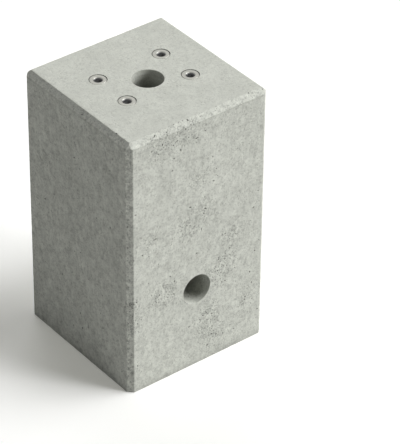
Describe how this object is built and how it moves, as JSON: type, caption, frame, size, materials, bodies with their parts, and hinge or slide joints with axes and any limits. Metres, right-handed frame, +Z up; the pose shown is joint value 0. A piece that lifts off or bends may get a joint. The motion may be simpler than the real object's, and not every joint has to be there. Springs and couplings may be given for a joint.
{
  "type": "precast concrete foundation",
  "caption": "Square upright concrete block with chamfered edges, a cable duct in the top that bends out of the front, and cast-in threaded sockets round it for a post.",
  "frame": {"origin": "middle of the base, where it stands", "axes": "+Z up along the block's height; -Y is the front, with the cable entry; +X to the right of someone who stands before the front"},
  "size_m": [0.2, 0.2, 0.35],
  "materials": {
    "concrete": "smooth cast concrete, matt",
    "socket_steel": "turned steel, satin"
  },
  "bodies": {
    "root": {"foundation_block": "concrete", "socket_front_left": "socket_steel", "socket_front_right": "socket_steel", "socket_back_left": "socket_steel", "socket_back_right": "socket_steel"}
  },
  "joints": []
}
